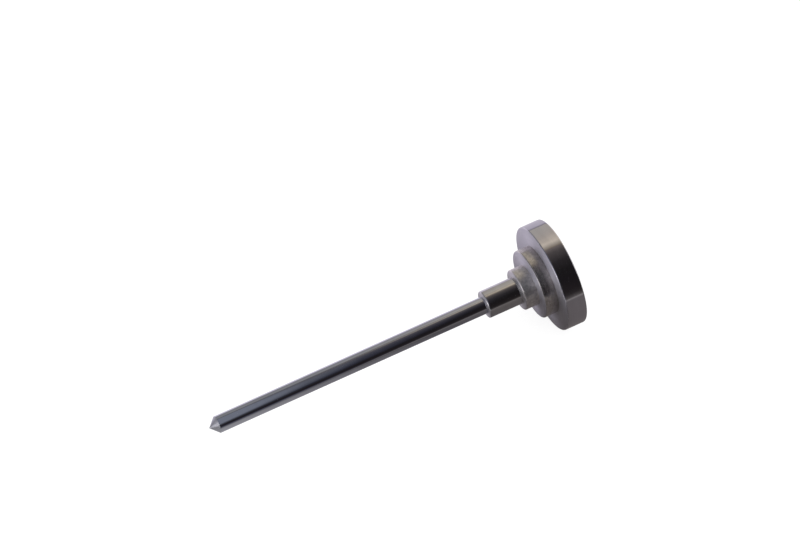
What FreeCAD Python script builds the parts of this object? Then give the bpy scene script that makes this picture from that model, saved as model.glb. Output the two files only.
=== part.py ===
import FreeCAD, Part
import math
import os

# Straight thermocouple probe with a turned, stepped head.
#
# A thin-walled stem with a pointed tip carries two thermoelement wires in
# two-bore ceramic beads. The stem is brazed into a bushing, and the bushing
# screws into the front wall of a shallow round housing. The housing holds a
# ceramic terminal block, and a threaded cover with a cable grommet closes it.
#
# Frame: the probe's axis is X. The origin is where the axis meets the seat,
# the flat front face of the housing's disk. The tip points along -X, and the
# rear cover faces +X. Lengths are in millimetres.

Vec = FreeCAD.Vector
AXIS = Vec(1, 0, 0)

# ---- driving dimensions: the outside ----
STEM_R = 4.0
STEM_REACH = 137.2          # from the sleeve's mouth to the point of the tip
SLEEVE_R, SLEEVE_LENGTH = 6.4, 16.4
COLLAR_R, COLLAR_LENGTH = 9.6, 6.4
SPIGOT_R, SPIGOT_LENGTH = 16.2, 6.3
DISK_R, DISK_LENGTH = 25.0, 9.7
EDGE_ROUND = 0.6            # round on every outer edge of the head

# ---- driving dimensions: the inside ----
GAP = 0.05                  # clearance all round a part in its seat
STEM_BORE_R = 3.0
STEM_SEAT_R, STEM_SEAT_DEPTH = 3.75, 20.1     # turned-down end that is brazed into the bushing
FRONT_WALL = 3.0            # housing wall that the bushing screws into
BUSHING_THREAD_R = 6.0      # M12 x 1
POCKET_R = 13.75            # pocket for the terminal block
CHAMBER_R, CHAMBER_FLOOR = 21.5, 1.8
MOUTH_R, MOUTH_LENGTH = 22.5, 3.3

# ---- driving dimensions: the measuring element ----
WIRE_R = 0.5
WIRE_OFFSET = 1.25          # from the probe's axis to each wire
WIRE_BEND_R = 1.5           # inside the head, towards the terminals
INSULATOR_R, INSULATOR_HOLE_R = 2.75, 0.6
INSULATOR_COUNT = 6
INSULATOR_GAP = 0.1
TIP_SPIGOT_LENGTH = 4.0
TIP_FILLING_LENGTH = 5.2
JUNCTION_R = 0.9
SLEEVING_R, SLEEVING_BORE_R = 1.0, 0.55

# ---- driving dimensions: the terminals ----
BLOCK_R, BLOCK_LENGTH, BLOCK_HOLE_R = 13.4, 3.8, 3.0
TERMINAL_OFFSET = 9.0       # from the probe's axis to each terminal screw
POST_WIDTH, POST_LENGTH, POST_HEIGHT = 7.0, 7.2, 2.5
POST_BOSS_R, POST_BOSS_DEPTH = 2.5, 3.0
SCREW_HOLE_R, SCREW_SHANK_R = 1.5, 1.45       # M3
SCREW_HEAD_R, SCREW_HEAD_HEIGHT, SCREW_REACH = 2.5, 1.8, 6.0
CLAMP_R, CLAMP_HOLE_R, CLAMP_HEIGHT = 3.4, 1.7, 0.8
BLOCK_SCREW_OFFSET = 9.5
BLOCK_SCREW_R, BLOCK_SCREW_HEAD_R, BLOCK_SCREW_HEAD_HEIGHT = 1.25, 2.25, 1.6
BLOCK_SCREW_REACH = 6.0

# ---- driving dimensions: the rear cover ----
COVER_PLATE, COVER_SKIRT = 1.7, 0.8           # plate thickness, skirt below it
COVER_R, COVER_THREAD_ROOT_R = 22.42, 21.95   # M45 x 1
COVER_LAND = 0.55           # plain band at each end of the thread
COVER_SKIRT_WALL = 1.9
SPANNER_HOLE_R, SPANNER_HOLE_DEPTH, SPANNER_OFFSET = 1.5, 1.2, 15.0
SEAL_SECTION_R = 0.39
GROMMET_BORE_R, GROMMET_NECK_R = 2.0, 4.5
GROMMET_LIP_R, GROMMET_LIP = 6.0, 1.5         # lip outside the cover
GROMMET_FLANGE_R, GROMMET_FLANGE = 5.5, 1.2   # flange inside the cover

# ---- places along the axis ----
spigot_x = -SPIGOT_LENGTH
collar_x = spigot_x - COLLAR_LENGTH
sleeve_x = collar_x - SLEEVE_LENGTH
tip_x = sleeve_x - STEM_REACH
cone_x = tip_x + STEM_R                       # the point is a 90 degree cone
stem_end_x = sleeve_x + STEM_SEAT_DEPTH
pocket_x = spigot_x + FRONT_WALL
block_top_x = pocket_x + BLOCK_LENGTH
post_top_x = block_top_x + POST_HEIGHT
clamp_top_x = post_top_x + CLAMP_HEIGHT
wire_exit_x = block_top_x + POST_HEIGHT / 2   # height of the post's side hole
rear_x = DISK_LENGTH
shoulder_x = rear_x - MOUTH_LENGTH
cover_plate_x = rear_x - COVER_PLATE
cover_bottom_x = cover_plate_x - COVER_SKIRT
filling_x = cone_x + TIP_SPIGOT_LENGTH
insulators_x = filling_x + TIP_FILLING_LENGTH
junction_x = filling_x + TIP_FILLING_LENGTH / 2


def outline_wire(points):
    """Closed wire in the XY plane through (x, radius) or (x, radius, round) corners."""
    corners = [Vec(p[0], p[1], 0) for p in points]
    edges = []
    starts, ends = [], []
    for i, corner in enumerate(corners):
        if len(points[i]) < 3:
            starts.append(corner)
            ends.append(corner)
            continue
        back = (corners[i - 1] - corner).normalize()
        ahead = (corners[(i + 1) % len(corners)] - corner).normalize()
        half = back.getAngle(ahead) / 2
        bisector = (back + ahead).normalize()
        reach = points[i][2] / math.tan(half)
        middle = corner + bisector * (points[i][2] / math.sin(half) - points[i][2])
        starts.append(corner + back * reach)
        ends.append(corner + ahead * reach)
        edges.append(Part.Arc(starts[i], middle, ends[i]).toShape())
    for i in range(len(corners)):
        following = starts[(i + 1) % len(corners)]
        edges.append(Part.LineSegment(ends[i], following).toShape())
    return Part.Wire(Part.__sortEdges__(edges))


def turned(*points):
    """Solid of revolution about the X axis from a closed (x, radius) outline."""
    face = Part.Face(outline_wire(points))
    return face.revolve(Vec(0, 0, 0), AXIS, 360)


def rod(radius, start_x, end_x, y=0.0, z=0.0):
    """Cylinder parallel to X."""
    return Part.makeCylinder(radius, end_x - start_x, Vec(start_x, y, z), AXIS)


def brick(low, high):
    """Box between two opposite corners."""
    size = [b - a for a, b in zip(low, high)]
    return Part.makeBox(*size, Vec(*low))


def screwdriver_slot(top_x, depth, width, length, y=0.0, z=0.0):
    """Cutter for the slot across a screw's head."""
    low = (top_x - depth, y - length / 2, z - width / 2)
    high = (top_x + depth, y + length / 2, z + width / 2)
    return brick(low, high)


def cheese_head_screw(shank_r, head_r, head_height, seat_x, reach, y=0.0, z=0.0):
    """Slotted screw whose head rests on seat_x and whose shank goes towards -X."""
    top_x = seat_x + head_height
    point_x = seat_x - reach
    screw = turned((point_x, 0), (point_x, shank_r - 0.3), (point_x + 0.3, shank_r),
                   (seat_x, shank_r), (seat_x, head_r), (top_x, head_r, 0.35), (top_x, 0))
    screw.translate(Vec(0, y, z))
    return screw.cut(screwdriver_slot(top_x, head_height * 0.45, head_r * 0.3, head_r * 3, y, z))


def bent_rod(radius, start_x, side, end_offset):
    """Round bar along one wire's line: straight, then bent outward to the terminal."""
    offset = WIRE_OFFSET * side
    bend_x = wire_exit_x - WIRE_BEND_R
    outer = offset + WIRE_BEND_R * side
    slant = WIRE_BEND_R * math.sqrt(0.5)
    start = Vec(start_x, 0, offset)
    bend_start = Vec(bend_x, 0, offset)
    bend_middle = Vec(bend_x + slant, 0, outer - slant * side)
    bend_end = Vec(wire_exit_x, 0, outer)
    path = Part.Wire([
        Part.LineSegment(start, bend_start).toShape(),
        Part.Arc(bend_start, bend_middle, bend_end).toShape(),
        Part.LineSegment(bend_end, Vec(wire_exit_x, 0, end_offset * side)).toShape(),
    ])
    section = Part.Wire(Part.Circle(start, AXIS, radius).toShape())
    return path.makePipeShell([section], True, True)


# ---- stem and tip ----

def stem_tube():
    """Tube whose rear end is turned down, so that a shoulder stops it at the bushing's mouth."""
    return turned((cone_x, STEM_BORE_R), (stem_end_x, STEM_BORE_R), (stem_end_x, STEM_SEAT_R),
                  (sleeve_x, STEM_SEAT_R), (sleeve_x, STEM_R), (cone_x, STEM_R))


def tip_plug():
    spigot_r = STEM_BORE_R - GAP
    return turned((tip_x, 0), (cone_x, STEM_R), (cone_x, spigot_r), (filling_x, spigot_r),
                  (filling_x, 0))


def measuring_junction():
    """Weld bead across the ends of both wires."""
    ends = [Part.makeSphere(JUNCTION_R, Vec(junction_x, 0, WIRE_OFFSET * side)) for side in (1, -1)]
    bridge = Part.makeCylinder(JUNCTION_R, 2 * WIRE_OFFSET, Vec(junction_x, 0, -WIRE_OFFSET), Vec(0, 0, 1))
    bead = bridge.fuse(ends).removeSplitter()
    wires = [rod(WIRE_R, junction_x, insulators_x, z=WIRE_OFFSET * side) for side in (1, -1)]
    return bead.cut(wires)


def tip_filling():
    """Packed magnesia around the junction."""
    filling = rod(STEM_BORE_R - GAP, filling_x, insulators_x)
    wires = [rod(WIRE_R, junction_x, insulators_x, z=WIRE_OFFSET * side) for side in (1, -1)]
    return filling.cut([measuring_junction()] + wires)


def thermoelement(side):
    post_face = TERMINAL_OFFSET - POST_LENGTH / 2
    return bent_rod(WIRE_R, junction_x, side, post_face + 1.5)


def insulator(index):
    """Two-bore ceramic bead; the beads share the stem's length equally."""
    pitch = (stem_end_x - insulators_x) / INSULATOR_COUNT
    start_x = insulators_x + pitch * index
    end_x = start_x + pitch - INSULATOR_GAP
    bead = turned((start_x, 0), (start_x, INSULATOR_R, 0.3), (end_x, INSULATOR_R, 0.3), (end_x, 0))
    return bead.cut([rod(INSULATOR_HOLE_R, start_x - 1, end_x + 1, z=WIRE_OFFSET * side) for side in (1, -1)])


def seal_plug():
    """Sealing compound that closes the stem where the wires enter the housing."""
    plug = rod(STEM_BORE_R - GAP, stem_end_x, pocket_x)
    return plug.cut([rod(WIRE_R + GAP, stem_end_x - 1, pocket_x + 1, z=WIRE_OFFSET * side) for side in (1, -1)])


def wire_sleeve(side):
    start_x = pocket_x + 0.3
    end_offset = TERMINAL_OFFSET - POST_LENGTH / 2 - 0.1
    sleeve = bent_rod(SLEEVING_R, start_x, side, end_offset)
    return sleeve.cut(bent_rod(SLEEVING_BORE_R, start_x, side, end_offset))


# ---- bushing and housing ----

def stem_bushing():
    """Sleeve, collar and threaded end in one piece, with an O-ring groove behind the collar."""
    groove_low, groove_high, groove_depth = 6.6, 8.2, 1.2
    seat_r = STEM_SEAT_R + GAP
    return turned((sleeve_x, seat_r), (stem_end_x, seat_r), (stem_end_x, STEM_BORE_R),
                  (pocket_x, STEM_BORE_R), (pocket_x, BUSHING_THREAD_R - 0.4),
                  (pocket_x - 0.4, BUSHING_THREAD_R), (spigot_x, BUSHING_THREAD_R),
                  (spigot_x, groove_low), (spigot_x - groove_depth, groove_low),
                  (spigot_x - groove_depth, groove_high), (spigot_x, groove_high),
                  (spigot_x, COLLAR_R), (collar_x, COLLAR_R, EDGE_ROUND), (collar_x, SLEEVE_R),
                  (sleeve_x, SLEEVE_R, EDGE_ROUND))


def bushing_o_ring():
    section_r = 0.58
    return Part.makeTorus(7.4, section_r, Vec(spigot_x - section_r, 0, 0), AXIS)


def head_housing():
    """Disk and spigot in one piece, hollow from the rear."""
    thread_r = BUSHING_THREAD_R + GAP
    shell = turned((spigot_x, thread_r), (pocket_x, thread_r), (pocket_x, POCKET_R),
                   (CHAMBER_FLOOR, POCKET_R), (CHAMBER_FLOOR, CHAMBER_R), (shoulder_x, CHAMBER_R),
                   (shoulder_x, MOUTH_R), (rear_x - 0.3, MOUTH_R), (rear_x, MOUTH_R + 0.3),
                   (rear_x, DISK_R, EDGE_ROUND), (0, DISK_R, EDGE_ROUND), (0, SPIGOT_R),
                   (spigot_x, SPIGOT_R, EDGE_ROUND))
    hole_end_x = block_top_x - BLOCK_SCREW_REACH - 0.2
    return shell.cut([rod(BLOCK_SCREW_R + GAP, hole_end_x, pocket_x + 1, y=BLOCK_SCREW_OFFSET * side)
                      for side in (1, -1)])


# ---- terminals ----

def polarity_marks():
    """Cutters for a plus beside one terminal and a minus beside the other."""
    bar, width, depth, y = 2.4, 0.6, 0.3, 6.2
    low_x, high_x = block_top_x - depth, block_top_x + 1
    bars = [brick((low_x, y - bar / 2, z - width / 2), (high_x, y + bar / 2, z + width / 2))
            for z in (TERMINAL_OFFSET, -TERMINAL_OFFSET)]
    upright = brick((low_x, y - width / 2, TERMINAL_OFFSET - bar / 2),
                    (high_x, y + width / 2, TERMINAL_OFFSET + bar / 2))
    return bars + [upright]


def terminal_block():
    block = turned((pocket_x, BLOCK_HOLE_R), (pocket_x, BLOCK_R, 0.3), (block_top_x, BLOCK_R, 0.5),
                   (block_top_x, BLOCK_HOLE_R, 0.3))
    seats = [rod(POST_BOSS_R + GAP, block_top_x - POST_BOSS_DEPTH - GAP, block_top_x + 1,
                 z=TERMINAL_OFFSET * side) for side in (1, -1)]
    holes = [rod(BLOCK_SCREW_R + 0.2, pocket_x - 1, block_top_x + 1, y=BLOCK_SCREW_OFFSET * side)
             for side in (1, -1)]
    return block.cut(seats + holes + polarity_marks())


def block_screws():
    return Part.makeCompound([
        cheese_head_screw(BLOCK_SCREW_R, BLOCK_SCREW_HEAD_R, BLOCK_SCREW_HEAD_HEIGHT, block_top_x,
                          BLOCK_SCREW_REACH, y=BLOCK_SCREW_OFFSET * side) for side in (1, -1)])


def terminal_post(side):
    """Brass plate with a boss in the block, a tapped hole and a side hole for the wire."""
    z = TERMINAL_OFFSET * side
    plate = brick((block_top_x, -POST_WIDTH / 2, z - POST_LENGTH / 2),
                  (post_top_x, POST_WIDTH / 2, z + POST_LENGTH / 2))
    top_edges = [edge for edge in plate.Edges if edge.CenterOfMass.x > block_top_x + 0.1]
    plate = plate.makeChamfer(0.3, top_edges)
    boss_x = block_top_x - POST_BOSS_DEPTH
    post = plate.fuse(rod(POST_BOSS_R, boss_x, block_top_x, z=z)).removeSplitter()
    side_hole = Part.makeCylinder(WIRE_R + GAP, POST_LENGTH / 2, Vec(wire_exit_x, 0, z - POST_LENGTH / 2 * side),
                                  Vec(0, 0, side))
    return post.cut([rod(SCREW_HOLE_R, boss_x - 1, post_top_x + 1, z=z), side_hole])


def clamp_washer(side):
    washer = turned((post_top_x, CLAMP_HOLE_R), (clamp_top_x, CLAMP_HOLE_R), (clamp_top_x, CLAMP_R, 0.2),
                    (post_top_x, CLAMP_R, 0.2))
    washer.translate(Vec(0, 0, TERMINAL_OFFSET * side))
    return washer


def terminal_screw(side):
    return cheese_head_screw(SCREW_SHANK_R, SCREW_HEAD_R, SCREW_HEAD_HEIGHT, clamp_top_x, SCREW_REACH,
                             z=TERMINAL_OFFSET * side)


# ---- rear cover ----

def cover_seal():
    ring_r = (CHAMBER_R + MOUTH_R) / 2
    return Part.makeTorus(ring_r, SEAL_SECTION_R, Vec(cover_bottom_x - SEAL_SECTION_R, 0, 0), AXIS)


def rear_cover():
    """Threaded disc with a grommet hole and two blind holes for a pin spanner."""
    skirt_bore_r = COVER_R - COVER_SKIRT_WALL
    thread_low, thread_high = cover_bottom_x + COVER_LAND, rear_x - COVER_LAND
    disc = turned((cover_plate_x, GROMMET_NECK_R), (cover_plate_x, skirt_bore_r),
                  (cover_bottom_x, skirt_bore_r), (cover_bottom_x, COVER_R, 0.2),
                  (thread_low, COVER_R), (thread_low, COVER_THREAD_ROOT_R),
                  (thread_high, COVER_THREAD_ROOT_R), (thread_high, COVER_R),
                  (rear_x, COVER_R, 0.25), (rear_x, GROMMET_NECK_R))
    return disc.cut([rod(SPANNER_HOLE_R, rear_x - SPANNER_HOLE_DEPTH, rear_x + 1, y=SPANNER_OFFSET * side)
                     for side in (1, -1)])


def cable_grommet():
    inside_x, outside_x = cover_plate_x - GROMMET_FLANGE, rear_x + GROMMET_LIP
    neck_r = GROMMET_NECK_R - GAP
    return turned((inside_x, GROMMET_BORE_R), (inside_x, GROMMET_FLANGE_R, 0.4),
                  (cover_plate_x, GROMMET_FLANGE_R), (cover_plate_x, neck_r), (rear_x, neck_r),
                  (rear_x, GROMMET_LIP_R, 0.3), (outside_x, GROMMET_LIP_R - 0.9, 0.9),
                  (outside_x, GROMMET_BORE_R, 0.3))


# ---- one STEP file per piece ----

parts = {
    "stem_tube": stem_tube(),
    "tip_plug": tip_plug(),
    "tip_filling": tip_filling(),
    "measuring_junction": measuring_junction(),
    "seal_plug": seal_plug(),
    "stem_bushing": stem_bushing(),
    "bushing_o_ring": bushing_o_ring(),
    "head_housing": head_housing(),
    "terminal_block": terminal_block(),
    "block_screws": block_screws(),
    "cover_seal": cover_seal(),
    "rear_cover": rear_cover(),
    "cable_grommet": cable_grommet(),
}
for index in range(INSULATOR_COUNT):
    parts[f"insulator_{index + 1}"] = insulator(index)
for pole, side in (("positive", 1), ("negative", -1)):
    parts[f"thermoelement_{pole}"] = thermoelement(side)
    parts[f"wire_sleeve_{pole}"] = wire_sleeve(side)
    parts[f"terminal_post_{pole}"] = terminal_post(side)
    parts[f"clamp_washer_{pole}"] = clamp_washer(side)
    parts[f"terminal_screw_{pole}"] = terminal_screw(side)

os.makedirs("parts", exist_ok=True)
for name, shape in parts.items():
    if not shape.isValid() or shape.Volume <= 0:
        raise RuntimeError(f"{name} is not a sound solid")
    shape.exportStep(f"parts/{name}.step")
    print(f"{name:24s} {len(shape.Solids)} solid(s) {shape.Volume:10.2f} mm3")
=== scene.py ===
import bmesh
import bpy
import math
from collections import namedtuple
from mathutils import Matrix, Vector


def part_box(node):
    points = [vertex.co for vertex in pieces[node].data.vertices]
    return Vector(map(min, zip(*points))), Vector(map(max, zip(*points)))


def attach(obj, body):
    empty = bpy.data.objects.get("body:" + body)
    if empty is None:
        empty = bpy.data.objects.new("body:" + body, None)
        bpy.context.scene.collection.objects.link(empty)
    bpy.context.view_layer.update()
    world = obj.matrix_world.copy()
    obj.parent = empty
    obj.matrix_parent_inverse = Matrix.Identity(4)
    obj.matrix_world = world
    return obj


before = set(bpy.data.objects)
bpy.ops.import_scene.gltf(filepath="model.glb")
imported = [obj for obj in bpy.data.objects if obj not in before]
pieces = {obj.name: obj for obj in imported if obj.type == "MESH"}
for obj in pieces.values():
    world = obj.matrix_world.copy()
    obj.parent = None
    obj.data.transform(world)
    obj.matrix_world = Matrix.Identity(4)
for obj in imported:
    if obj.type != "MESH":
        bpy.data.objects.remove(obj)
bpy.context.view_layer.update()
scene = bpy.context.scene

DISK_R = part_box("head_housing")[1].z
FLOOR_Z = -DISK_R                       # the disk's rim stands on the floor
FLOOR_HALF = 6.0
TABLE_HALF, TABLE_DROP = 4.0, 0.0005    # the card under the floor's surface
BLACK, WHITE = (0, 0, 0), (1, 1, 1)


# ---- camera ----

AZIMUTH, ELEVATION = math.radians(-27.44), math.radians(59.2)
LENS, SENSOR = 400.0, 36.0              # a long lens: the object shows no perspective
FRAME_WIDTH = 0.3568                    # what the frame spans at the object
SEAT_RIGHT, SEAT_DOWN = 0.0633, 0.0054  # the seat's place in the frame, from its centre


def make_camera():
    level = math.cos(ELEVATION)
    back = Vector((math.sin(AZIMUTH) * level, -math.cos(AZIMUTH) * level, math.sin(ELEVATION)))
    right = Vector((math.cos(AZIMUTH), math.sin(AZIMUTH), 0))
    up = back.cross(right)
    data = bpy.data.cameras.new("camera")
    data.lens, data.sensor_width = LENS, SENSOR
    data.clip_start, data.clip_end = 0.1, 20
    camera = bpy.data.objects.new("camera", data)
    scene.collection.objects.link(camera)
    target = up * SEAT_DOWN - right * SEAT_RIGHT
    distance = FRAME_WIDTH * LENS / SENSOR
    axes = Matrix((right, up, back)).transposed().to_4x4()
    camera.matrix_world = Matrix.Translation(target + back * distance) @ axes
    scene.camera = camera


make_camera()


# ---- stage ----
# Only reflections see the cards and the world's colours. They are placed and toned for the main camera, so
# other views and other lights show the steel plainer.

def plane(name, centre, along, across):
    """Flat rectangle from its centre and its two half-side vectors."""
    corners = [centre - along - across, centre + along - across, centre + along + across,
               centre - along + across]
    mesh = bpy.data.meshes.new(name)
    mesh.from_pydata(corners, [], [(0, 1, 2, 3)])
    thing = bpy.data.objects.new(name, mesh)
    scene.collection.objects.link(thing)
    return thing


def tree(owner):
    """Empty node tree of a material or world."""
    owner.use_nodes = True
    owner.node_tree.nodes.clear()
    return owner.node_tree


def only_reflected(card):
    """The camera and diffuse light pass this thing by."""
    card.visible_camera = False
    card.visible_diffuse = False
    card.visible_shadow = False
    card.visible_transmission = False


class Nodes:
    """Short way to build a node tree whose place input is the object's own coordinates."""

    def __init__(self, owner, output="ShaderNodeOutputMaterial", place="Object"):
        self.tree = tree(owner)
        self.output = self.add(output)
        where = self.add("ShaderNodeTexCoord")
        split = self.add("ShaderNodeSeparateXYZ")
        self.point = where.outputs[place]
        self.tree.links.new(self.point, split.inputs[0])
        self.x, self.y, self.z = split.outputs

    def add(self, kind):
        return self.tree.nodes.new(kind)

    def feed(self, socket, value):
        """Links a socket, or sets a plain value."""
        if isinstance(value, bpy.types.NodeSocket):
            self.tree.links.new(value, socket)
        elif value is not None:
            socket.default_value = value

    def math(self, kind, first, second=None, third=None):
        node = self.add("ShaderNodeMath")
        node.operation = kind
        for socket, value in zip(node.inputs, (first, second, third)):
            self.feed(socket, value)
        return node.outputs[0]

    def span(self, value, low, high, to_low=0.0, to_high=1.0, smooth=False):
        """Maps low..high to to_low..to_high, clamped."""
        node = self.add("ShaderNodeMapRange")
        node.interpolation_type = "SMOOTHSTEP" if smooth else "LINEAR"
        for socket, setting in zip(node.inputs, (value, low, high, to_low, to_high)):
            self.feed(socket, setting)
        return node.outputs[0]

    def ramp(self, value, stops):
        """Colour that blends through (value, colour) stops."""
        low, high = stops[0][0], stops[-1][0]
        node = self.add("ShaderNodeValToRGB")
        elements = node.color_ramp.elements
        while len(elements) < len(stops):
            elements.new(0.5)
        for element, (at, colour) in zip(elements, stops):
            element.position = (at - low) / (high - low)
            element.color = (*colour, 1)
        self.feed(node.inputs[0], self.span(value, low, high))
        return node.outputs[0]

    def mix(self, first, second, factor=1.0, kind="MIX"):
        node = self.add("ShaderNodeMix")
        node.data_type = "RGBA"
        node.blend_type = kind
        for name, form, value in (("Factor", "VALUE", factor), ("A", "RGBA", first), ("B", "RGBA", second)):
            socket = next(item for item in node.inputs if item.name == name and item.type == form)
            if isinstance(value, tuple):
                value = (*value, 1)
            self.feed(socket, value)
        return next(item for item in node.outputs if item.type == "RGBA")

    def scale(self, colour, factor):
        node = self.add("ShaderNodeVectorMath")
        node.operation = "SCALE"
        self.feed(node.inputs[0], colour)
        self.feed(node.inputs["Scale"], factor)
        return node.outputs[0]

    def blend(self, first, second, factor):
        """Number between first and second."""
        node = self.add("ShaderNodeMix")
        for socket, value in zip(node.inputs, (factor, None, first, second)):
            self.feed(socket, value)
        return node.outputs[0]

    def vector(self, x, y, z):
        node = self.add("ShaderNodeCombineXYZ")
        for socket, value in zip(node.inputs, (x, y, z)):
            self.feed(socket, value)
        return node.outputs[0]

    def noise(self, vector, scale, detail=2.0, w=None):
        node = self.add("ShaderNodeTexNoise")
        if w is not None:
            node.noise_dimensions = "4D"
            self.feed(node.inputs["W"], w)
        self.feed(node.inputs["Vector"], vector)
        node.inputs["Scale"].default_value = scale
        node.inputs["Detail"].default_value = detail
        return node.outputs[0]


def shine(nodes, card, colour, cover):
    """Emission over a see-through card; the colour cover is how much of what is behind it the card hides."""
    card.data.materials.append(nodes.material)
    nodes.material.cycles.emission_sampling = "NONE"
    only_reflected(card)
    emission, clear = nodes.add("ShaderNodeEmission"), nodes.add("ShaderNodeBsdfTransparent")
    both = nodes.add("ShaderNodeAddShader")
    nodes.feed(emission.inputs["Color"], colour)
    nodes.feed(clear.inputs["Color"], nodes.mix(WHITE, cover, kind="SUBTRACT"))
    nodes.feed(both.inputs[0], emission.outputs[0])
    nodes.feed(both.inputs[1], clear.outputs[0])
    nodes.feed(nodes.output.inputs["Surface"], both.outputs[0])


def glow(name):
    """Nodes of a card's new material."""
    material = bpy.data.materials.new(name)
    nodes = Nodes(material)
    nodes.material = material
    return nodes


def make_floor():
    """White light table, so that what stands on it throws only a faint shadow."""
    floor = plane("floor", Vector((0, 0, FLOOR_Z)), Vector((FLOOR_HALF, 0, 0)), Vector((0, FLOOR_HALF, 0)))
    floor.visible_glossy = False
    material = bpy.data.materials.new("floor")
    material.use_nodes = True
    material.cycles.emission_sampling = "NONE"
    shader = material.node_tree.nodes["Principled BSDF"]
    shader.inputs["Base Color"].default_value = (0.35, 0.35, 0.35, 1)
    shader.inputs["Roughness"].default_value = 1
    shader.inputs["Specular IOR Level"].default_value = 0
    shader.inputs["Emission Color"].default_value = (1, 1, 1, 1)
    shader.inputs["Emission Strength"].default_value = 0.8
    floor.data.materials.append(material)


def make_table_card():
    """What the steel mirrors below it: a table that is bright behind and dim in front."""
    card = plane("table_card", Vector((0, 0, FLOOR_Z - TABLE_DROP)), Vector((TABLE_HALF, 0, 0)),
                 Vector((0, TABLE_HALF, 0)))
    nodes = glow("table_card")
    front = nodes.ramp(nodes.x, [(-0.17, (0.50, 0.49, 0.50)), (-0.10, (0.27, 0.26, 0.27)),
                                 (-0.04, (0.125, 0.117, 0.12)), (0.0, (0.165, 0.15, 0.148)),
                                 (0.02, (0.19, 0.172, 0.172)), (0.1, (0.185, 0.17, 0.17)),
                                 (0.2, (0.31, 0.29, 0.28))])
    near = nodes.span(nodes.x, -0.035, 0.0, 0.008, 0.0)
    behind = nodes.span(nodes.math("ADD", nodes.y, near), -0.008, 0.045, smooth=True)
    far = nodes.ramp(nodes.y, [(0.2, (0.68, 0.64, 0.73)), (0.45, (0.28, 0.26, 0.30)),
                               (1.2, (0.12, 0.11, 0.12))])
    far = nodes.mix(far, (1.34, 1.34, 1.34), nodes.span(nodes.x, 0.01, -0.01), kind="MULTIPLY")
    shine(nodes, card, nodes.mix(front, far, behind), WHITE)


def make_back_card():
    """Lit wall behind the object: brighter to the right, dim high up on the left, fading out at the top."""
    card = plane("back_card", Vector((0.2, 0.5, 0.6)), Vector((1.2, 0, 0)), Vector((0, 0, 0.62)))
    nodes = glow("back_card")
    wall = nodes.ramp(nodes.x, [(-0.035, (0.31, 0.31, 0.32)), (0.02, (0.34, 0.335, 0.34)),
                                (0.08, (0.42, 0.405, 0.40)), (0.10, (0.49, 0.455, 0.42)),
                                (0.13, (0.60, 0.575, 0.52)), (0.16, (0.62, 0.555, 0.475)),
                                (0.20, (0.93, 0.83, 0.67))])
    high = nodes.span(nodes.z, 0.42, 0.62, smooth=True)
    left = nodes.span(nodes.x, 0.14, 0.21, 0.5, 1.0, smooth=True)
    dimmed = nodes.mix(wall, nodes.mix(BLACK, wall, left), high)
    fall = nodes.ramp(nodes.z, [(0.66, WHITE), (0.87, (0.6, 0.6, 0.6)), (1.07, (0.35, 0.33, 0.32)),
                                (1.2, (0.25, 0.24, 0.23))])
    cover = nodes.span(nodes.z, 1.08, 1.2, 1.0, 0.0, smooth=True)
    lit = nodes.mix(dimmed, fall, kind="MULTIPLY")
    shine(nodes, card, nodes.mix(BLACK, lit, cover), cover)


def make_veil():
    """Bluish sheen of the bright room over the stem, strongest at the tip."""
    card = plane("veil", Vector((-0.3, -0.6, 0.5)), Vector((0.6, 0, 0)), Vector((0, 1.1, 0)))
    nodes = glow("veil")
    sheen = nodes.ramp(nodes.x, [(-0.03, (0.255, 0.272, 0.322)), (0.0, (0.113, 0.120, 0.146)),
                                 (0.03, (0.042, 0.045, 0.066)), (0.088, (0.010, 0.010, 0.018)),
                                 (0.13, BLACK)])
    near = nodes.ramp(nodes.y, [(-1.7, BLACK), (-1.2, (0.20, 0.20, 0.20)), (-0.7, (0.32, 0.32, 0.32)),
                                (-0.45, (0.58, 0.58, 0.58)), (-0.3, WHITE), (0.3, WHITE), (0.42, BLACK)])
    cover = nodes.mix(BLACK, near, nodes.span(nodes.x, -0.03, 0.07, 1.0, 0.0))
    shine(nodes, card, nodes.mix(sheen, near, kind="MULTIPLY"), cover)


def make_front_veil():
    """The same sheen low in front, where the stem's darkest line looks."""
    card = plane("front_veil", Vector((0.2, -1.8, 0.22)), Vector((0.6, 0, 0)), Vector((0, 0, 0.25)))
    nodes = glow("front_veil")
    sheen = nodes.ramp(nodes.x, [(0.28, (0.022, 0.032, 0.062)), (0.35, (0.0, 0.001, 0.008)), (0.40, BLACK)])
    shine(nodes, card, sheen, BLACK)


# what the steel mirrors round its axis, by the angle from the back horizon over the top
ROOM = [(-5, (0.60, 0.58, 0.54)), (27, (0.56, 0.54, 0.49)), (40, (0.65, 0.57, 0.48)),
        (53, (0.80, 0.72, 0.59)), (60, (0.50, 0.43, 0.38)), (67, (0.21, 0.18, 0.165)),
        (76, (0.105, 0.093, 0.088)), (97, (0.035, 0.031, 0.031)), (118, (0.017, 0.0152, 0.0152)),
        (138, (0.017, 0.0145, 0.016)), (162, (0.024, 0.020, 0.021)), (171, (0.037, 0.032, 0.031)),
        (178, (0.11, 0.10, 0.096)), (184, (0.30, 0.28, 0.265))]


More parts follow.
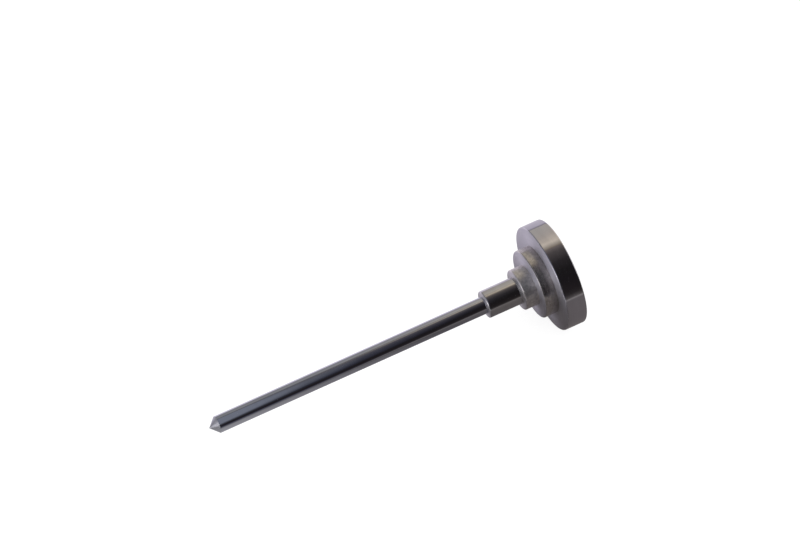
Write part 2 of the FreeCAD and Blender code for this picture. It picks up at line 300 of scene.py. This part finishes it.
def make_world():
    """White room; reflections see a dim one, with a light box behind the head and a window beyond the tip."""
    world = bpy.data.worlds.new("world")
    scene.world = world
    nodes = Nodes(world, "ShaderNodeOutputWorld", "Generated")
    world.cycles.sampling_method = "NONE"
    angle = nodes.math("ARCTAN2", nodes.z, nodes.y)
    turned = nodes.math("ADD", angle, 0.5 * math.pi)           # cut is straight down, under the table
    degrees = nodes.math("MULTIPLY", nodes.math("WRAP", turned, 2 * math.pi, 0.0), 180 / math.pi)
    room = nodes.ramp(nodes.math("SUBTRACT", degrees, 90.0), ROOM)
    box = nodes.ramp(nodes.z, [(0.04, (0.10, 0.10, 0.105)), (0.12, (1.3, 1.27, 1.25)),
                               (0.5, (1.3, 1.27, 1.25)), (0.62, (0.16, 0.155, 0.15)),
                               (1.0, (0.05, 0.05, 0.05))])
    beside = nodes.span(nodes.math("ABSOLUTE", nodes.y), 0.3, 0.5, smooth=True)
    rear = nodes.mix(box, (0.12, 0.118, 0.12), beside)
    window = nodes.ramp(nodes.y, [(-0.56, (0.08, 0.08, 0.085)), (-0.42, (0.60, 0.57, 0.62)),
                                  (-0.32, (2.5, 2.42, 2.5)), (-0.08, (2.3, 2.22, 2.3)),
                                  (0.1, (0.8, 0.78, 0.82)), (0.5, (0.5, 0.48, 0.5))])
    seen = nodes.mix(room, rear, nodes.span(nodes.x, 0.5, 0.85, smooth=True))
    seen = nodes.mix(seen, window, nodes.span(nodes.x, -0.35, -0.6, smooth=True))
    ray = nodes.add("ShaderNodeLightPath")
    background = nodes.add("ShaderNodeBackground")
    nodes.feed(background.inputs[0], nodes.mix(WHITE, seen, ray.outputs["Is Glossy Ray"]))
    nodes.feed(nodes.output.inputs["Surface"], background.outputs[0])


make_floor()
make_table_card()
make_back_card()
make_veil()
make_front_veil()
make_world()
scene.view_settings.view_transform = "Standard"


# ---- materials ----

# coarser part of a steel piece: its share at each place, roughness, colour (a stain on the spigot, painted
# light on the collar) and depth of stain
Coarse = namedtuple("Coarse", "share roughness colour mottle")


def stain_and_painted_light(nodes, part, colour, shade):
    """Colour and shade with the coarse part's colour and stain; the collar's lighter colour is painted light.
    """
    stain = nodes.noise(nodes.point, 800.0, 4.0)
    spots = nodes.span(stain, 0.34, 0.66, 1 - part.mottle, 1 + 0.7 * part.mottle)
    change = nodes.math("MULTIPLY", part.share, nodes.math("SUBTRACT", spots, 1.0))
    return (nodes.mix(colour, part.colour, part.share),
            nodes.math("MULTIPLY", shade, nodes.math("ADD", 1.0, change)))


def steel(name, colour, roughness, anisotropy, feed, groove, blur, faces=None, where=None):
    """Steel turned about X: the scatter and the tool marks run round the axis.

    feed is the spacing of the tool marks and groove their depth, in metres. blur is how uneven the
    roughness is. faces is the roughness of the flat faces. where(nodes, radius, sides) may give a Coarse
    part of the rest.
    """
    material = bpy.data.materials.new(name)
    nodes = Nodes(material)
    shader = nodes.add("ShaderNodeBsdfPrincipled")
    nodes.feed(nodes.output.inputs["Surface"], shader.outputs[0])
    radius = nodes.math("SQRT", nodes.math("ADD", nodes.math("MULTIPLY", nodes.y, nodes.y),
                                           nodes.math("MULTIPLY", nodes.z, nodes.z)))
    turn_y, turn_z = nodes.math("DIVIDE", nodes.y, radius), nodes.math("DIVIDE", nodes.z, radius)
    rings = nodes.vector(nodes.math("DIVIDE", nodes.x, feed), nodes.math("MULTIPLY", turn_y, 0.2),
                         nodes.math("MULTIPLY", turn_z, 0.2))
    marks = nodes.noise(rings, 1.0, 3.0, w=nodes.math("DIVIDE", radius, feed))
    broad = nodes.vector(nodes.math("DIVIDE", nodes.x, 6 * feed), turn_y, turn_z)
    bands = nodes.noise(broad, 1.0, 2.0, w=nodes.math("DIVIDE", radius, 6 * feed))
    smudge = nodes.noise(nodes.point, 90.0, 4.0)
    shade = nodes.math("MULTIPLY_ADD", bands, 0.16, 0.92)
    shade = nodes.math("MULTIPLY", shade, nodes.span(smudge, 0.3, 0.7, 0.96, 1.03))
    geometry = nodes.add("ShaderNodeNewGeometry")
    normal = nodes.add("ShaderNodeSeparateXYZ")
    nodes.feed(normal.inputs[0], geometry.outputs["Normal"])
    flat = nodes.span(nodes.math("ABSOLUTE", normal.outputs[0]), 0.6, 0.9)
    level = roughness
    if where:
        part = where(nodes, radius, nodes.math("SUBTRACT", 1.0, flat))
        colour, shade = stain_and_painted_light(nodes, part, colour, shade)
        level = nodes.span(part.share, 0.0, 1.0, roughness, part.roughness)
    if faces is not None:
        level = nodes.blend(level, faces, flat)
    uneven = nodes.math("ADD", nodes.span(marks, 0.3, 0.7, -blur, blur),
                        nodes.span(smudge, 0.35, 0.65, -0.5 * blur, blur))
    nodes.feed(shader.inputs["Base Color"], nodes.scale(colour, shade))
    nodes.feed(shader.inputs["Roughness"], nodes.math("ADD", uneven, level))
    shader.inputs["Metallic"].default_value = 1
    shader.inputs["Anisotropic"].default_value = anisotropy
    shader.inputs["Anisotropic Rotation"].default_value = 0.25
    tangent = nodes.add("ShaderNodeTangent")
    tangent.direction_type = "RADIAL"
    tangent.axis = "X"
    nodes.feed(shader.inputs["Tangent"], tangent.outputs[0])
    bump = nodes.add("ShaderNodeBump")
    bump.inputs["Distance"].default_value = groove
    bump.inputs["Strength"].default_value = 1.0
    nodes.feed(bump.inputs["Height"], nodes.math("ADD", marks, nodes.math("MULTIPLY", bands, 0.6)))
    nodes.feed(shader.inputs["Normal"], bump.outputs[0])
    return material


def dress(material, *names):
    for name in names:
        pieces[name].data.materials.clear()
        pieces[name].data.materials.append(material)


SPIGOT_R, SLEEVE_LENGTH = 0.0162, 0.0164
COLLAR_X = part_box("stem_bushing")[0].x + SLEEVE_LENGTH


def housing_finish(nodes, radius, sides):
    """The spigot is turned more coarsely than the polished rim, and carries a slight stain."""
    inner = nodes.span(radius, SPIGOT_R + 0.001, SPIGOT_R + 0.002, 1.0, 0.0)
    return Coarse(nodes.math("MULTIPLY", inner, sides), 0.25, (0.545, 0.515, 0.49), 0.18)


def bushing_coarse_and_painted_light(nodes, radius, sides):
    """The collar is turned more coarsely than the polished sleeve; its lighter colour is painted light."""
    collar = nodes.span(nodes.x, COLLAR_X - 0.0006, COLLAR_X - 0.0002)
    # the collar's colour, lighter than the sleeve's steel, is painted light
    return Coarse(nodes.math("MULTIPLY", collar, sides), 0.42, (0.69, 0.66, 0.635), 0.19)


dress(steel("stem_steel", (0.56, 0.57, 0.62), 0.055, 0.6, 0.0006, 0.000002, 0.015, faces=0.34), "stem_tube")
dress(steel("tip_steel", (0.45, 0.46, 0.49), 0.45, 0.5, 0.0003, 0.000004, 0.03), "tip_plug")
dress(steel("bushing_steel", (0.55, 0.54, 0.55), 0.085, 0.7, 0.0004, 0.000005, 0.03, faces=0.5,
            where=bushing_coarse_and_painted_light), "stem_bushing")
dress(steel("housing_steel", (0.54, 0.53, 0.57), 0.08, 0.8, 0.0004, 0.000005, 0.03, faces=0.56,
            where=housing_finish), "head_housing")
dress(steel("cover_steel", (0.54, 0.53, 0.56), 0.30, 0.85, 0.0004, 0.000006, 0.04), "rear_cover")


def solid(name, colour, roughness, grain, relief, metallic=0.0, patches=0.06, coat=0.0, sheen=0.0,
          pattern=None, tint=None):
    """Any other material: colour in soft patches, fine grain in its gloss and relief.

    grain is the size of the grain and relief its depth, in metres. pattern(nodes) may give a shape
    in place of the grain. tint is a second colour for the patches.
    """
    material = bpy.data.materials.new(name)
    nodes = Nodes(material)
    shader = nodes.add("ShaderNodeBsdfPrincipled")
    nodes.feed(nodes.output.inputs["Surface"], shader.outputs[0])
    fine = nodes.noise(nodes.point, 1 / grain, 3.0)
    broad = nodes.noise(nodes.point, 1 / (14 * grain), 2.0)
    lighter = tint or tuple(min(1.0, part * (1 + patches)) for part in colour)
    darker = tuple(part * (1 - patches) for part in colour)
    patch = nodes.mix(darker, lighter, nodes.span(broad, 0.35, 0.65, smooth=True))
    speck = nodes.span(fine, 0.25, 0.45, 0.92, 1.0)
    shape = pattern(nodes) if pattern else fine
    if pattern:
        speck = nodes.math("MULTIPLY", speck, nodes.span(shape, 0.0, 0.6, 0.7, 1.0))
    nodes.feed(shader.inputs["Base Color"], nodes.scale(patch, speck))
    shader.inputs["Metallic"].default_value = metallic
    nodes.feed(shader.inputs["Roughness"],
               nodes.math("ADD", nodes.span(fine, 0.3, 0.7, -0.07, 0.07), roughness))
    shader.inputs["Coat Weight"].default_value = coat
    shader.inputs["Coat Roughness"].default_value = 0.12
    shader.inputs["Sheen Weight"].default_value = sheen
    bump = nodes.add("ShaderNodeBump")
    bump.inputs["Distance"].default_value = relief
    nodes.feed(bump.inputs["Height"], shape)
    nodes.feed(shader.inputs["Normal"], bump.outputs[0])
    return material


def drawn(nodes):
    """Fine lines across X, as on sheet and bar stock."""
    return nodes.noise(nodes.vector(nodes.math("MULTIPLY", nodes.x, 60.0), nodes.y,
                                    nodes.math("MULTIPLY", nodes.z, 4.0)), 300.0, 3.0)


STRAND_PITCH = 0.00045


def braid(nodes):
    """Crossing strands, as on glass-fibre sleeving."""
    strand = 2 * math.pi / STRAND_PITCH
    along = nodes.math("ADD", nodes.x, nodes.z)
    one = nodes.math("SINE", nodes.math("MULTIPLY", nodes.math("ADD", along, nodes.y), strand))
    other = nodes.math("SINE", nodes.math("MULTIPLY", nodes.math("SUBTRACT", along, nodes.y), strand))
    return nodes.math("MULTIPLY_ADD", nodes.math("MULTIPLY", one, other), 0.5, 0.5)


POLES = ("positive", "negative")
dress(solid("screw_steel", (0.60, 0.60, 0.61), 0.2, 0.0003, 0.000004, metallic=1, patches=0.04),
      "block_screws", *[f"terminal_screw_{pole}" for pole in POLES])
dress(solid("washer_steel", (0.58, 0.58, 0.58), 0.34, 0.0002, 0.000006, metallic=1),
      *[f"clamp_washer_{pole}" for pole in POLES])
dress(solid("terminal_brass", (0.72, 0.55, 0.28), 0.28, 0.0003, 0.00001, metallic=1, patches=0.1,
            pattern=drawn), *[f"terminal_post_{pole}" for pole in POLES])
dress(solid("steatite", (0.86, 0.83, 0.76), 0.3, 0.0004, 0.00001, patches=0.03, coat=0.6), "terminal_block")
dress(solid("insulator_ceramic", (0.88, 0.86, 0.80), 0.7, 0.0002, 0.00002, tint=(0.85, 0.80, 0.68)),
      *[name for name in pieces if name.startswith("insulator")])
dress(solid("magnesia", (0.90, 0.90, 0.88), 0.9, 0.0003, 0.00006), "tip_filling")
dress(solid("weld_bead", (0.40, 0.38, 0.36), 0.38, 0.0004, 0.00004, metallic=1, tint=(0.36, 0.26, 0.20)),
      "measuring_junction")
dress(solid("wire_positive", (0.50, 0.47, 0.44), 0.3, 0.0002, 0.000005, metallic=1),
      "thermoelement_positive")
dress(solid("wire_negative", (0.44, 0.44, 0.45), 0.34, 0.0002, 0.000005, metallic=1),
      "thermoelement_negative")
dress(solid("sealing_compound", (0.50, 0.16, 0.10), 0.35, 0.0008, 0.00003, coat=0.3), "seal_plug")
dress(solid("glass_sleeving", (0.82, 0.80, 0.72), 0.75, 0.0002, 0.00007, sheen=0.2, pattern=braid),
      *[f"wire_sleeve_{pole}" for pole in POLES])
dress(solid("seal_rubber", (0.03, 0.03, 0.03), 0.55, 0.0002, 0.00001, patches=0.2),
      "cover_seal", "bushing_o_ring")
dress(solid("grommet_rubber", (0.022, 0.022, 0.023), 0.55, 0.00025, 0.00002, patches=0.2, sheen=0.04),
      "cable_grommet")


# ---- pieces that the CAD leaves out ----

THREAD_ROOT_R, THREAD_CREST_R, THREAD_PITCH = 0.02190, 0.02240, 0.001
THREAD_HALF_FOOT, THREAD_HALF_CREST = 0.00044, 0.00006
THREAD_END_GAP, THREAD_STEPS = 0.0005, 540


def cover_thread():
    """One and a half turns of right-hand thread on the cover's rim; both ends run out in its lands."""
    low, high = (corner.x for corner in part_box("rear_cover"))
    low, high = low + THREAD_END_GAP, high - THREAD_END_GAP
    profile = [(-THREAD_HALF_FOOT, THREAD_ROOT_R), (-THREAD_HALF_CREST, THREAD_CREST_R),
               (THREAD_HALF_CREST, THREAD_CREST_R), (THREAD_HALF_FOOT, THREAD_ROOT_R)]
    points, faces = [], []
    for step in range(THREAD_STEPS + 1):
        x = low + (high - low) * step / THREAD_STEPS
        turn = 2 * math.pi * x / THREAD_PITCH
        points += [(x + across, radius * math.cos(turn), radius * math.sin(turn))
                   for across, radius in profile]
    count = len(profile)
    for step in range(THREAD_STEPS):
        here, there = step * count, (step + 1) * count
        for side in range(count):
            after = (side + 1) % count
            faces.append((here + side, here + after, there + after, there + side))
    last = THREAD_STEPS * count
    faces += [tuple(range(count)), tuple(range(last + count - 1, last - 1, -1))]
    mesh = bpy.data.meshes.new("cover_thread")
    mesh.from_pydata(points, [], faces)
    mesh.validate()
    build = bmesh.new()
    build.from_mesh(mesh)
    bmesh.ops.recalc_face_normals(build, faces=build.faces)
    build.to_mesh(mesh)
    build.free()
    thread = bpy.data.objects.new("cover_thread", mesh)
    scene.collection.objects.link(thread)
    mesh.materials.append(pieces["rear_cover"].data.materials[0])
    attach(thread, "rear_cover")


cover_thread()
